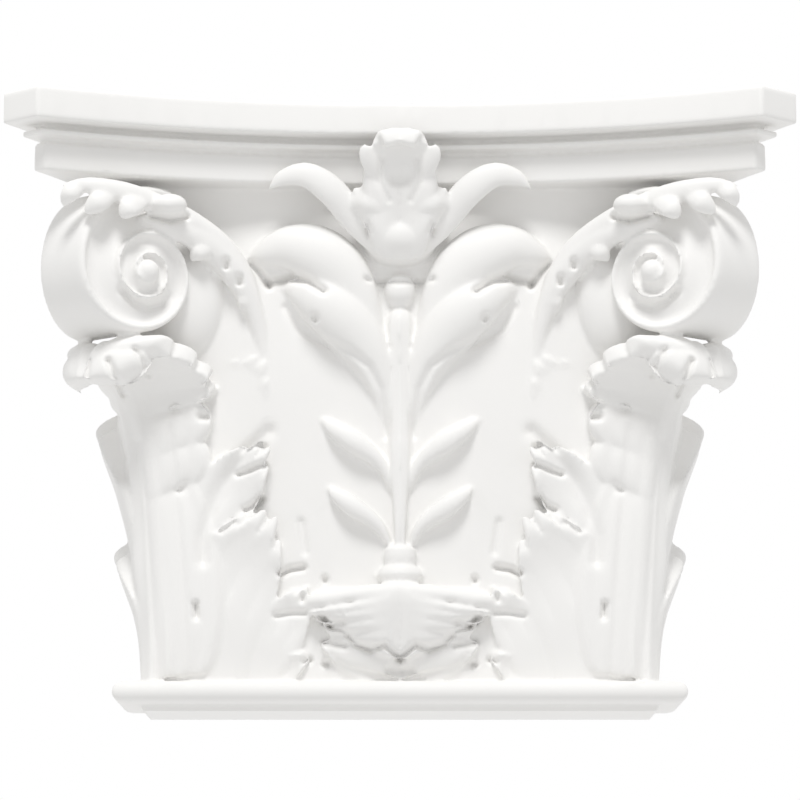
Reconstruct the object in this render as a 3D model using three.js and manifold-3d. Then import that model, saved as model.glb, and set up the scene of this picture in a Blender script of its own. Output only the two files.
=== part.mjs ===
// A Corinthian pilaster capital, moulded in one piece: a flat-backed block with a concave abacus,
// corner volutes, a fleuron, a spray of stems and leaves, and acanthus leaves round its foot.
// Millimetres. +Z is up, +Y runs into the wall, and the origin is the middle of the underside.
import * as THREE from "three";
import { mergeVertices } from "three/addons/utils/BufferGeometryUtils.js";
import Module from "manifold-3d";

const wasm = await Module();
wasm.setup();

// Driving dimensions
const WIDTH = 357; // across the abacus, from corner to corner
const HEIGHT = 275;
const NECK_WIDTH = 233; // the body at its foot
const NECK_DEPTH = 60; // from the wall to the body's face
const OVERHANG = (WIDTH - NECK_WIDTH) / 2; // of the abacus's corners past the body
const CHAMFER = 17; // the cut-off corner of the abacus, along each side
const HOLLOW = 40; // how far the abacus curves in between its corners
const ABACUS_FOOT = 239.3; // height where the abacus starts
const BEAD = 5; // radius of the round moulding at the foot
const BEAD_REACH = 13; // how far the bead stands out of the neck
const BEAD_HEIGHT = 8; // its middle, above the underside
const CORNER_CUT = 7.3; // the body's corner, cut off behind the corner leaf

// Places worked out from them
const NECK_X = NECK_WIDTH / 2;
const WALL = NECK_DEPTH / 2;
const FACE = -NECK_DEPTH / 2;
const ABACUS_X = WIDTH / 2;
const MIRROR_SUM = NECK_X + FACE; // the corner's diagonal swaps x and y about this sum
const WHITE = 0xf3f2f0;
const FINEST = 0.01; // the shortest edge that the solid keeps

const DIAGONAL = new THREE.Vector3(1, -1, 0).normalize(); // out of the right-hand corner
const ACROSS = new THREE.Vector3(-1, -1, 0).normalize(); // square to it, towards the front

// A value that follows a short list of [place, value] pairs, on a smooth curve through them.
function along(pairs, at) {
  const last = pairs.length - 1;
  const s = THREE.MathUtils.clamp(at, pairs[0][0], pairs[last][0]);
  const i = Math.max(0, Math.min(last - 1, pairs.findLastIndex((pair) => pair[0] <= s)));
  const slope = (j, k) => (pairs[k][1] - pairs[j][1]) / (pairs[k][0] - pairs[j][0]);
  const span = pairs[i + 1][0] - pairs[i][0];
  const before = slope(Math.max(0, i - 1), i + 1) * span;
  const after = slope(i, Math.min(last, i + 2)) * span;
  const k = (s - pairs[i][0]) / span;
  const rise = pairs[i + 1][1] - pairs[i][1];
  return pairs[i][1] + k * (before + k * (3 * rise - 2 * before - after + k * (before + after - 2 * rise)));
}

// A closed solid from points and faces, with its faces turned outwards.
function solid(points, faces) {
  const corner = (i) => new THREE.Vector3().fromArray(points, 3 * faces[i]);
  let volume = 0;
  for (let i = 0; i < faces.length; i += 3) volume += corner(i).dot(corner(i + 1).cross(corner(i + 2)));
  if (volume < 0) {
    for (let i = 0; i < faces.length; i += 3) [faces[i + 1], faces[i + 2]] = [faces[i + 2], faces[i + 1]];
  }
  return new wasm.Manifold(
    new wasm.Mesh({ numProp: 3, vertProperties: points, triVerts: faces, tolerance: FINEST }),
  );
}

// A three.js geometry whose points are moved by a function, as a closed solid.
function shaped(geometry, move) {
  geometry.deleteAttribute("normal");
  geometry.deleteAttribute("uv");
  const merged = mergeVertices(geometry, 1e-5);
  const place = merged.attributes.position;
  const points = new Float32Array(place.count * 3);
  for (let i = 0; i < place.count; i += 1) {
    move(new THREE.Vector3().fromBufferAttribute(place, i)).toArray(points, 3 * i);
  }
  return solid(points, new Uint32Array(merged.index.array));
}

// A block of columns by rows, its two faces given by at(column, row, side), side 0 in front.
function slab(columns, rows, at) {
  const box = new THREE.BoxGeometry(columns, rows, 1, columns, rows, 1);
  return shaped(box, (p) =>
    at(
      Math.round(p.x + columns / 2),
      Math.round(p.y + rows / 2),
      p.z > 0 ? 0 : 1,
    ),
  );
}

// A rounded stem along points [x, z, height off the face, half width], flat behind.
function stem(points, sides, steps, flatten = 1) {
  const spine = new THREE.CatmullRomCurve3(
    points.map(([x, z, h]) => new THREE.Vector3(x, FACE - h, z)),
    false,
    "catmullrom",
    0.5,
  );
  const widths = points.map((q, i) => [i / (points.length - 1), q[3]]);
  const rod = new THREE.CylinderGeometry(1, 1, 1, sides, steps);
  const out = new THREE.Vector3(0, -1, 0);
  return shaped(rod, (p) => {
    const s = p.y + 0.5;
    const round = Math.hypot(p.x, p.z) > 0.5 ? 1 : 0;
    const turn = Math.atan2(p.z, p.x);
    const forward = spine.getTangent(s);
    const side = new THREE.Vector3().crossVectors(forward, out).normalize();
    const r = along(widths, s) * round;
    return spine
      .getPoint(s)
      .addScaledVector(side, r * Math.cos(turn))
      .addScaledVector(out, r * flatten * Math.sin(turn));
  });
}

// The cast of a leaf. Its fingers stand in groups; each group ends in a deep notch.
// Rows follow the veins, from the midrib out and up, so a finger is one band of rows.
function leafRows(groups, perFinger) {
  const rows = [];
  for (const { from, to, fingers } of groups) {
    for (let f = 0; f < fingers; f += 1) {
      for (let k = 0; k < perFinger; k += 1) {
        const inFinger = k / perFinger;
        rows.push({
          s: from + ((f + inFinger) / fingers) * (to - from),
          inFinger,
          deep: f === 0 && k === 0,
        });
      }
    }
  }
  rows.push({ s: groups[groups.length - 1].to, inFinger: 0, deep: true });
  return rows;
}

// How far a finger's edge reaches, and how high its back stands, from one notch to the next.
function finger(row, notch, deepNotch) {
  const swell = Math.sin(Math.PI * row.inFinger);
  const depth = row.deep ? deepNotch : notch;
  return { reach: 1 - depth * (1 - Math.sqrt(swell)), ridge: swell };
}

// A leaf follows its profile, out and up, and is thick square to it. Its back runs into the body
// below form.leaves, and above that it is a sheet of its own.
function leaf({ groups, perFinger = 2, halves = 3, notch = 0.12, deepNotch = 0.3, ...form }) {
  const rows = leafRows(groups, perFinger);
  const near = 0.01;
  return slab(2 * halves, rows.length - 1, (column, rowNumber, side) => {
    const row = rows[rowNumber];
    const { s } = row;
    const t = column / halves - 1;
    const edge = finger(row, notch, deepNotch);
    const c = t * along(form.width, s) * edge.reach;
    const lift = Math.abs(t) ** 0.7 * along(form.sweep, s);
    const out = along(form.out, s);
    const ahead = along(form.out, s + near) - along(form.out, s - near);
    const upward = along(form.height, s + near) - along(form.height, s - near);
    const free = THREE.MathUtils.smoothstep(s, form.leaves - 0.1, form.leaves + 0.05);
    const groove = edge.ridge * Math.abs(t) - 0.6 * (1 - Math.abs(t)) * Math.min(1, 8 * Math.abs(t));
    const relief = form.ridge * groove;
    const offset =
      side === 0
        ? form.thick + relief * (1 - free)
        : -THREE.MathUtils.lerp(Math.max(out, 0) + 3, form.thick + relief, free);
    const long = Math.hypot(ahead, upward);
    const z = along(form.height, s) + lift - (Math.max(offset, -1.5 * form.thick) * ahead) / long;
    return form.place({ s, c, z, h: (offset * upward) / long, out: out - free * form.droop * t * t });
  });
}

// The body's face near the right-hand corner: c runs from the corner's diagonal towards the
// front's middle (above 0) or the wall (below 0), and h stands off the face.
function roundCorner(c, z, h) {
  const arc = (CORNER_CUT * Math.PI) / 4;
  const turn = THREE.MathUtils.clamp(c / CORNER_CUT, -Math.PI / 4, Math.PI / 4);
  const heading = -Math.PI / 4 - turn;
  const past = Math.max(0, Math.abs(c) - arc);
  const x = NECK_X - CORNER_CUT + (CORNER_CUT + h) * Math.cos(heading);
  const y = FACE + CORNER_CUT + (CORNER_CUT + h) * Math.sin(heading);
  return c > 0 ? new THREE.Vector3(x - past, y, z) : new THREE.Vector3(x, y + past, z);
}

// Swaps the front and the side of the right-hand corner.
const overDiagonal = (p) => new THREE.Vector3(MIRROR_SUM - p.y, MIRROR_SUM - p.x, p.z);

// Body: the neck with its bead, the plain face behind the carving, and the bell's lip.
// Each level: height, reach past the neck, corner cut, and how far the corners bow forward.
const BODY_LEVELS = [
  [0, 0, 0.6, 0],
  [BEAD_HEIGHT - BEAD, 0, 0.6, 0],
  [BEAD_HEIGHT - BEAD, BEAD_REACH - BEAD, 0.6, 0],
  [BEAD_HEIGHT - BEAD * 0.7, BEAD_REACH - BEAD * 0.3, 0.6, 0],
  [BEAD_HEIGHT, BEAD_REACH, 0.6, 0],
  [BEAD_HEIGHT + BEAD * 0.7, BEAD_REACH - BEAD * 0.3, 0.6, 0],
  [BEAD_HEIGHT + BEAD, BEAD_REACH - BEAD, 0.6, 0],
  [BEAD_HEIGHT + BEAD, 0, CORNER_CUT, 0.3],
  [58, 0.4, CORNER_CUT, 0.8],
  [106, 1.1, CORNER_CUT, 1.5],
  [157, 2.5, CORNER_CUT, 2.6],
  [204, 4.6, CORNER_CUT, 4.5],
  [226, 7.5, CORNER_CUT, 7],
  [ABACUS_FOOT + 1, 12, CORNER_CUT, 9],
];
const BODY_FRONT = 4; // steps from the middle of the front to the corner

function bodyOutline([z, reach, cut, bow]) {
  const x = NECK_X + reach;
  const y = FACE - reach;
  const right = [];
  for (let i = 0; i <= BODY_FRONT; i += 1) {
    const px = ((x - cut) * i) / BODY_FRONT;
    right.push(new THREE.Vector3(px, y - bow * (px / x) ** 2, z));
  }
  right.push(new THREE.Vector3(x + bow, y + cut - bow * 0.5, z), new THREE.Vector3(x, WALL, z));
  return right;
}

// A stack of outlines as one solid on the wall. Each runs from the middle of the front round to
// its last point, which is on the wall.
function standing(outlines) {
  const half = outlines[0].length - 2;
  return slab(2 * half, outlines.length - 1, (column, row, side) => {
    const outline = outlines[row];
    const step = Math.abs(column - half);
    const atWall = outline[half + 1].clone();
    const p = side === 0 ? outline[step].clone() : atWall.setX((atWall.x * step) / half);
    if (column < half) p.x = -p.x;
    return p;
  });
}

function body() {
  return standing(BODY_LEVELS.map(bodyOutline));
}

// Abacus: its plan is a square with hollow sides and cut corners, drawn with circular arcs, and
// its edge is a fascia over a fillet over a hollow band. Each level: height and inset.
const ABACUS_LEVELS = [
  [ABACUS_FOOT, 11.5],
  [ABACUS_FOOT + 8, 13],
  [ABACUS_FOOT + 12.8, 14.2],
  [ABACUS_FOOT + 13.8, 8.5],
  [ABACUS_FOOT + 16.6, 8.5],
  [ABACUS_FOOT + 19.2, 2.2],
  [ABACUS_FOOT + 21.8, 0.8],
  [HEIGHT, 0],
];
const ARC_STEPS = 6;
const CORNER_X = ABACUS_X - CHAMFER;
const ARC_RADIUS = (CORNER_X ** 2 + HOLLOW ** 2) / (2 * HOLLOW);
const ARC_MIDDLE_Y = FACE - OVERHANG + HOLLOW - ARC_RADIUS;
const CORNER_SUM = ABACUS_X + OVERHANG - CHAMFER - FACE;

function abacusOutline([z, inset]) {
  const radius = ARC_RADIUS + inset;
  const q = -ARC_MIDDLE_Y - CORNER_SUM + inset * Math.SQRT2;
  const cornerX = (Math.sqrt(2 * radius ** 2 - q ** 2) - q) / 2;
  const front = [];
  for (let i = 0; i <= ARC_STEPS; i += 1) {
    const x = (cornerX * i) / ARC_STEPS;
    front.push(new THREE.Vector3(x, ARC_MIDDLE_Y + Math.sqrt(radius ** 2 - x ** 2), z));
  }
  const sideStart = overDiagonal(front[ARC_STEPS]);
  const side = [];
  for (let i = 0; i <= 3; i += 1) {
    const y = sideStart.y + ((WALL - sideStart.y) * i) / 3;
    const offMiddle = y - MIRROR_SUM;
    const x = MIRROR_SUM - ARC_MIDDLE_Y - Math.sqrt(radius ** 2 - offMiddle ** 2);
    side.push(new THREE.Vector3(x, y, z));
  }
  return [...front, ...side];
}

function abacus() {
  return standing(ABACUS_LEVELS.map(abacusOutline));
}

// Corner leaf: the tall acanthus leaf folded round each corner, its tip curling out under the volute.
const CORNER_LEAF = {
  height: [[0, 13], [0.2, 42], [0.4, 76], [0.6, 109], [0.75, 137], [0.85, 154], [0.92, 160], [1, 147]],
  out: [[0, 0], [0.3, 0], [0.6, 4], [0.75, 10], [0.85, 20], [0.92, 29], [1, 34]],
  width: [[0, 36], [0.2, 36], [0.4, 33], [0.55, 31], [0.7, 36], [0.82, 41], [0.92, 34], [1, 22]],
  sweep: [[0, 4], [0.3, 10], [0.6, 12], [0.85, 3], [1, -2]],
  open: [[0, 0], [0.6, 0], [0.8, 0.45], [1, 0.9]],
  leaves: 0.78,
  thick: 4,
  ridge: 2.2,
  droop: 7,
  sideShare: 0.78, // its half on the short side is narrower, and ends just before the wall
  notch: 0.14,
  deepNotch: 0.2,
  groups: [
    { from: 0, to: 0.5, fingers: 1 },
    { from: 0.5, to: 0.72, fingers: 2 },
    { from: 0.72, to: 1, fingers: 5 },
  ],
  place: ({ s, c, z, h, out }) => {
    const folded = roundCorner(c < 0 ? c * CORNER_LEAF.sideShare : c, z, h);
    const flat = roundCorner(0, z, h).addScaledVector(ACROSS, c * 0.95);
    return folded.lerp(flat, along(CORNER_LEAF.open, s)).addScaledVector(DIAGONAL, out);
  },
};

// Lobes of the corner leaf on its front half and on its short side, from the lowest up, and the low
// lobes beside the middle leaf. Each is a fan of fingers along a spine, given as distance from the
// corner's diagonal (or from the middle of the front), height, height off the face, and half width.
const LOBE_ROWS = 3;
const LOBE_FALL = 0.25; // how much sooner the outer fingers of a lobe end
const LOBE_NOTCH = 0.2;
const LOBE_SHEET = 4; // a lobe's thickness at its tip
const FRONT_LOBES = [
  { fingers: 4, spine: [[28, 12, 2, 17], [33, 40, 4, 22], [44, 68, 6, 24], [57, 90, 10, 20]] },
  { fingers: 3, spine: [[50, 11, 1, 8], [58, 28, 3, 11], [66, 44, 5, 12], [73, 56, 6, 9]] },
  { fingers: 2, spine: [[52, 9, 1, 5], [62, 17, 2, 7], [74, 26, 4, 6]] },
  { fingers: 4, spine: [[20, 58, 3, 8], [28, 82, 5, 13], [41, 104, 8, 17], [55, 121, 12, 14]] },
  { fingers: 4, spine: [[24, 108, 2, 9], [33, 130, 3, 15], [43, 148, 4.4, 16], [54, 164, 6, 12]] },
];
const SIDE_LOBES = [
  { fingers: 3, spine: [[15, 12, 2, 12], [18, 34, 5, 16], [22, 58, 13, 17], [24, 77, 19, 13]] },
  { fingers: 3, spine: [[14, 62, 5, 10], [17, 86, 11, 15], [21, 110, 19, 16], [24, 132, 28, 11]] },
];
const MIDDLE_LOBES = [
  { fingers: 3, spine: [[14, 22, 2, 6], [24, 34, 4, 8], [35, 46, 7, 7]] },
];

function lobe({ fingers, spine }, put) {
  const track = (j) => spine.map((point, i) => [i / (spine.length - 1), point[j]]);
  const [across, up, high, wide] = [0, 1, 2, 3].map(track);
  const near = 0.02;
  return slab(2 * fingers, LOBE_ROWS, (column, row, side) => {
    const t = column / fingers - 1;
    const inNotch = column % 2 === 0;
    const v = row / LOBE_ROWS;
    const s = v * (1 - LOBE_FALL * t * t - (inNotch ? LOBE_NOTCH : 0));
    const sideways = along(across, s + near) - along(across, s - near);
    const upward = along(up, s + near) - along(up, s - near);
    const long = Math.hypot(sideways, upward);
    const width = along(wide, s) * t * Math.sqrt(1 - 0.5 * v ** 6);
    const c = along(across, s) + (width * upward) / long;
    const z = along(up, s) - (width * sideways) / long;
    const front = Math.max(along(high, s) - (inNotch ? 1.5 : 0) * v - 2 * Math.abs(t) ** 6, 0.7);
    const sheet = THREE.MathUtils.smoothstep(v, 0.6, 1);
    return put(c, z, side === 0 ? front : Math.min(-3 + sheet * (front + 3 - LOBE_SHEET), front - 3));
  });
}

const onSide = (c, z, h) => roundCorner(-c, z, h);
const onMiddle = (c, z, h) => new THREE.Vector3(c, FACE - h, z);

// Middle leaf: the low leaf in the middle of the front, its broad tip hanging forward.
const MIDDLE_LEAF = {
  height: [[0, 14], [0.2, 27], [0.4, 42], [0.52, 51], [0.62, 55], [0.72, 53], [0.84, 43], [1, 24]],
  out: [[0, 0], [0.3, 1], [0.45, 3], [0.55, 8], [0.64, 14], [0.74, 18], [0.86, 18], [1, 13]],
  width: [[0, 30], [0.2, 32], [0.4, 36], [0.55, 40], [0.65, 41], [0.75, 38], [0.85, 29], [0.93, 18], [1, 5]],
  sweep: [[0, 6], [0.4, 4], [0.55, -3], [0.7, -8], [0.85, -4], [1, 0]],
  leaves: 0.55,
  thick: 3,
  ridge: 2,
  droop: 9,
  notch: 0.12,
  deepNotch: 0.16,
  groups: [
    { from: 0, to: 0.45, fingers: 2 },
    { from: 0.45, to: 0.72, fingers: 2 },
    { from: 0.72, to: 1, fingers: 4 },
  ],
  place: ({ c, z, h, out }) => new THREE.Vector3(c, FACE - h - out, z),
};

// Stem: the reeded stalk up the middle of the front, from its collar to the bud under the fleuron.
const STALK = [
  [0, 66, 5, 3.2],
  [0, 90, 4, 3.6],
  [0, 115, 3, 5],
  [0, 140, 3, 4.2],
  [0, 160, 3, 5],
  [0, 176, 3, 7],
  [0, 184, 3, 7.2],
];

function collar() {
  const turned = [[0, 56], [8.5, 57.5], [10.4, 61.2], [9, 64], [6.6, 65.5], [7.4, 69], [7, 73], [0, 76]];
  const ring = new THREE.LatheGeometry(
    turned.map(([r, z]) => new THREE.Vector2(r, z)),
    10,
  );
  return shaped(ring, (p) => new THREE.Vector3(p.x, FACE - 3 - p.z, p.y));
}

function bud() {
  const ball = new THREE.SphereGeometry(1, 8, 5);
  return shaped(ball, (p) => new THREE.Vector3(7 * p.x, FACE - 4 + 7 * p.y, 191.5 + 8 * p.z));
}

// Side leaves on the stem: two short pairs, and the big open calyx of a lower and an upper lip.
const SHORT_LEAVES = [
  [[4, 74, 2, 2], [10, 84, 4, 3.2], [21, 92, 5, 4.6], [29, 98, 4, 3.4], [33, 102, 1, 0.8]],
  [[4, 100, 2, 2], [9, 112, 4, 3.2], [20, 121, 5.5, 5], [30, 128, 4.5, 4], [37, 134, 1, 1]],
];
const LOWER_LIP = [
  [3, 122, 0, 3],
  [8, 145, 2, 7],
  [16, 165, 4, 11],
  [27, 179, 6, 13],
  [39, 188, 7.5, 11],
  [48, 192, 6, 7],
  [54, 193, 3, 3],
];
const UPPER_LIP = [
  [6, 140, -1, 4],
  [14, 170, 2, 9],
  [24, 194, 4, 13],
  [36, 207, 6, 13.5],
  [50, 211, 6.5, 11],
  [62, 208, 5, 7],
  [69, 203, 2, 3],
];

// Fleuron: the flower over the middle of the abacus, a cup with petals curling up and out of it.
const FLEURON_CUP = { z: 215.5, halfWidth: 17.5, halfHeight: 13, reach: 17 };
const SIDE_PETAL = [
  [8, 206, 8, 4],
  [20, 221, 13, 6.5],
  [30, 234, 18, 7],
  [42, 242, 20, 6],
  [53, 241, 19, 4.5],
  [60, 236, 18, 1.5],
];
const FRONT_PETAL = [[4, 204, 14, 4], [8, 218, 17, 6.5], [15, 230, 19, 6], [21, 236, 21, 2.5]];
const TOP_PETAL = {
  height: [[0, 204], [0.4, 228], [0.65, 245], [0.82, 255], [0.93, 257], [1, 251]],
  out: [[0, 12], [0.4, 17], [0.65, 23], [0.82, 29], [0.93, 35], [1, 39]],
  width: [[0, 12], [0.3, 15], [0.6, 17], [0.72, 14], [0.85, 12], [1, 8]],
  sweep: [[0, 2], [1, 2]],
  leaves: 0.6,
  thick: 2,
  ridge: 1.5,
  droop: 0,
  groups: [
    { from: 0, to: 0.72, fingers: 2 },
    { from: 0.72, to: 1, fingers: 1 },
  ],
  place: ({ c, z, h, out }) => new THREE.Vector3(c, FACE - Math.max(h, -6) - out, z),
};

function cup() {
  const ball = new THREE.SphereGeometry(1, 10, 5);
  const { z, halfWidth, halfHeight, reach } = FLEURON_CUP;
  const middle = new THREE.Vector3(0, FACE - 4, z);
  return shaped(ball, (p) => p.multiply(new THREE.Vector3(halfWidth, reach, halfHeight)).add(middle));
}

// Volute: a spiral scroll at each corner, one face to the front and one to the side. The faces
// are turned so that they close on the corner, and meet on its diagonal behind a broad rim.
const VOLUTE = {
  eye: new THREE.Vector3(116.7, -57, 194),
  turned: THREE.MathUtils.degToRad(32),
  radius: 33, // at the outermost point of the scroll
  shrink: 0.14, // of the radius, in each radian
  cone: 8, // how far the eye stands out of the rim
  start: -0.62 * Math.PI, // where the scroll leaves its stem, measured past the outermost point
  turns: 1.95,
  steps: 21,
};

function volute() {
  const { eye, turned, radius, shrink, cone, start, turns, steps } = VOLUTE;
  const out = new THREE.Vector3(Math.cos(turned), -Math.sin(turned), 0);
  const facing = new THREE.Vector3(-Math.sin(turned), -Math.cos(turned), 0);
  const section = [[0, 0], [0.12, 1.6], [0.26, 0], [0.7, -0.6], [1.06, -0.4]]; // across, height
  return slab(section.length - 1, steps, (column, row, side) => {
    const turn = start + ((turns * 2 * Math.PI - start) * row) / steps;
    const outer = radius * Math.exp(-shrink * turn);
    const inner = outer * Math.exp(-shrink * 2 * Math.PI);
    const [across, high] = section[column];
    const r = outer + (inner - outer) * across;
    const p = eye
      .clone()
      .addScaledVector(out, r * Math.cos(turn))
      .addScaledVector(facing, high + cone * (1 - Math.min(r, radius) / radius));
    p.z -= r * Math.sin(turn);
    return side === 0 ? p : overDiagonal(p);
  });
}

function voluteEye() {
  const ball = new THREE.SphereGeometry(1, 8, 4);
  const { eye, turned, cone } = VOLUTE;
  const facing = new THREE.Vector3(-Math.sin(turned), -Math.cos(turned), 0);
  const middle = eye.clone().addScaledVector(facing, cone - 1.2);
  return shaped(ball, (p) => middle.clone().addScaledVector(p, 4.4));
}

// Leaf over the scroll: it rises from the big open leaf's stalk, lies along the top of the scroll
// with its lobes hanging over it, and ends in a curl under the corner of the abacus.
const SCROLL_STALK = [
  [60, 142, -1, 2],
  [64, 172, 3, 4],
  [72, 195, 8, 6],
  [86, 214, 15, 7.5],
  [103, 225, 24, 7],
  [118, 228, 30, 5],
];
const OVER_LEAF = [
  [64, 176, 2, 2],
  [69, 194, 6, 5],
  [79, 212, 12, 7],
  [93, 226, 20, 7],
  [108, 234, 30, 7],
  [124, 238, 40, 7],
  [140, 240, 46, 5],
  [150, 237, 48, 3],
];
const OVER_LOBES = [
  [[70, 196, 7, 2], [71, 187, 8, 3.5], [70, 180, 6, 1.5]],
  [[114, 236, 36, 4], [122, 229, 44, 5.5], [126, 222, 45, 3]],
  [[128, 238, 42, 4], [136, 230, 47, 5.5], [142, 223, 47, 3]],
  [[142, 239, 46, 4], [149, 232, 49, 4.5], [152, 226, 47, 2]],
];
const SCROLL_BUD = { x: 105, z: 230, out: 33, half: 7 };

function scrollBud() {
  const ball = new THREE.SphereGeometry(SCROLL_BUD.half, 7, 5);
  const { x, z, out } = SCROLL_BUD;
  return shaped(ball, (p) => new THREE.Vector3(x + p.x, FACE - out + p.y, z + p.z));
}

// The mirror image of a solid, from where move() puts each of its points.
function mirrored(made, move) {
  const mesh = made.getMesh();
  const points = new Float32Array(mesh.numVert * 3);
  for (let i = 0; i < mesh.numVert; i += 1) {
    const p = new THREE.Vector3().fromArray(mesh.vertProperties, i * mesh.numProp);
    move(p).toArray(points, 3 * i);
  }
  return solid(points, new Uint32Array(mesh.triVerts));
}

const toLeft = (made) => mirrored(made, (p) => new THREE.Vector3(-p.x, p.y, p.z));
const toSide = (made) => mirrored(made, overDiagonal);
const joined = (solids) => solids.reduce((all, made) => all.add(made));

const rightHalf = [
  leaf(CORNER_LEAF),
  volute(),
  voluteEye(),
  toSide(voluteEye()),
  ...SHORT_LEAVES.map((points) => stem(points, 5, 4, 0.9)),
  stem(LOWER_LIP, 7, 7, 0.8),
  stem(UPPER_LIP, 7, 7, 0.8),
  stem(SIDE_PETAL, 5, 6, 0.6),
  stem(FRONT_PETAL, 5, 3, 0.6),
  ...FRONT_LOBES.map((form) => lobe(form, roundCorner)),
  ...SIDE_LOBES.map((form) => lobe(form, onSide)),
  ...MIDDLE_LOBES.map((form) => lobe(form, onMiddle)),
  stem(SCROLL_STALK, 5, 5, 0.85),
  stem(OVER_LEAF, 5, 6, 0.85),
  ...OVER_LOBES.map((points) => stem(points, 4, 2, 0.85)),
  scrollBud(),
];
const middle = [
  body(),
  abacus(),
  leaf(MIDDLE_LEAF),
  stem(STALK, 6, 6),
  collar(),
  bud(),
  cup(),
  leaf(TOP_PETAL),
];

const carved = joined([...middle, ...rightHalf, ...rightHalf.map(toLeft)]);

// The outer skin alone. A small void between two leaves is filled, as the mould would fill it, and
// so is a slit so thin that its two faces meet.
function outerSkin(geometry) {
  const faces = new Map();
  const index = geometry.index.array;
  for (let i = 0; i < index.length; i += 3) {
    const face = [...index.slice(i, i + 3)];
    const key = [...face].sort((p, q) => p - q).join(" ");
    if (new Set(face).size < 3) continue;
    if (faces.has(key)) faces.delete(key);
    else faces.set(key, face);
  }
  const leader = Array.from({ length: geometry.attributes.position.count }, (_, i) => i);
  const find = (i) => (leader[i] === i ? i : (leader[i] = find(leader[i])));
  for (const [p, q, r] of faces.values()) {
    leader[find(p)] = find(q);
    leader[find(q)] = find(r);
  }
  const sizes = new Map();
  for (const [p] of faces.values()) sizes.set(find(p), (sizes.get(find(p)) ?? 0) + 1);
  const largest = [...sizes].sort((p, q) => q[1] - p[1])[0][0];
  return geometry.setIndex([...faces.values()].filter(([p]) => find(p) === largest).flat());
}

function meshOf(name, made, material) {
  const mesh = made.getMesh();
  const geometry = new THREE.BufferGeometry()
    .setAttribute("position", new THREE.BufferAttribute(new Float32Array(mesh.vertProperties), mesh.numProp))
    .setIndex(new THREE.BufferAttribute(new Uint32Array(mesh.triVerts), 1));
  const piece = new THREE.Mesh(outerSkin(mergeVertices(geometry, FINEST / 10)), material);
  piece.name = name;
  return piece;
}

const plaster = new THREE.MeshStandardMaterial({ color: WHITE, roughness: 0.6, metalness: 0 });
const capital = new THREE.Group();
capital.add(meshOf("capital", carved, plaster));

export default capital;
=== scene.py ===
import math

import bmesh
import bpy
import numpy as np
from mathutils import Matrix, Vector


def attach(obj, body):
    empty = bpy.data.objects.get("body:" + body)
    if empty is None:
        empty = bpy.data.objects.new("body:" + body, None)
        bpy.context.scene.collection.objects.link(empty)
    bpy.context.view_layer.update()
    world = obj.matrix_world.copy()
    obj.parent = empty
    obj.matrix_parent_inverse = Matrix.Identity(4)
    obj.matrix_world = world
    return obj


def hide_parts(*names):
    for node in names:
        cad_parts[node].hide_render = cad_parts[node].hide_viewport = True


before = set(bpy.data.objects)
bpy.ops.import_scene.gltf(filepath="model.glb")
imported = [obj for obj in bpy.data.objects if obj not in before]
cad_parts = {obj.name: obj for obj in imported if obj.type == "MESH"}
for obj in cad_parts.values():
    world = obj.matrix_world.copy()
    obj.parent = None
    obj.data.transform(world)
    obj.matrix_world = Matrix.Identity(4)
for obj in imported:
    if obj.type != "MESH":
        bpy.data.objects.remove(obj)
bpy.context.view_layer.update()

# Body and bead
# The plain block behind the carving: a straight neck with a round bead at its foot, and the bell, whose
# face bows forward to its corners. All of it is rigid polyurethane from one mould, flat on the wall.
MM = 0.001  # sizes are in millimetres, and become metres when a piece is made
NECK_WIDTH = 233.0
NECK_DEPTH = 60.0
CORNER_CUT = 8.0  # radius of the neck's two front corners
BEAD = 5.0  # the bead's radius
BEAD_REACH = 13.0  # how far the bead stands out from the neck
BEAD_HEIGHT = 8.0  # the bead's middle above the underside
ARRIS = 0.6  # the cut at the sharp upright corners of the foot
BEAD_CUT = 0.8  # and at those of the bead
ABACUS_FOOT = 239.3  # height of the abacus's lower edge
NECK_X = NECK_WIDTH / 2
WALL = NECK_DEPTH / 2
FACE = -NECK_DEPTH / 2
# How far the bell stands out from the neck, and how far it bows forward at its corners, by height
FLARE = [(13, 0), (58, 0.4), (106, 1.1), (157, 2.5), (204, 3), (226, 1), (ABACUS_FOOT + 1, 1)]
BOW = [(13, 0), (58, 0.8), (106, 1.5), (157, 2.6), (204, 4), (226, 4), (ABACUS_FOOT + 1, 5)]


def along(pairs, at):
    """A value that follows a short list of (place, value) pairs on a smooth curve through them."""
    x, y = np.array(pairs, dtype=float).T
    chord = np.diff(y) / np.diff(x)
    wide = (y[2:] - y[:-2]) / (x[2:] - x[:-2])
    slopes = np.concatenate([[chord[0]], wide, [chord[-1]]])
    s = np.clip(at, x[0], x[-1])
    i = np.clip(np.searchsorted(x, s, side="right") - 1, 0, len(x) - 2)
    span = x[i + 1] - x[i]
    k = (s - x[i]) / span
    before, after, rise = slopes[i] * span, slopes[i + 1] * span, y[i + 1] - y[i]
    return y[i] + k * (before + k * (3 * rise - 2 * before - after + k * (before + after - 2 * rise)))


def mesh_object(name, bm):
    """A new object from a bmesh in millimetres, with its normals outside."""
    bmesh.ops.scale(bm, vec=(MM, MM, MM), verts=bm.verts)
    bmesh.ops.recalc_face_normals(bm, faces=bm.faces)
    if bm.calc_volume(signed=True) < 0:
        bmesh.ops.reverse_faces(bm, faces=bm.faces)
    mesh = bpy.data.meshes.new(name)
    bm.to_mesh(mesh)
    bm.free()
    made = bpy.data.objects.new(name, mesh)
    bpy.context.scene.collection.objects.link(made)
    return made


def place(verts, co):
    """Moves verts, in their order, to the rows of co."""
    for vert, to in zip(verts, co):
        vert.co = to


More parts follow.
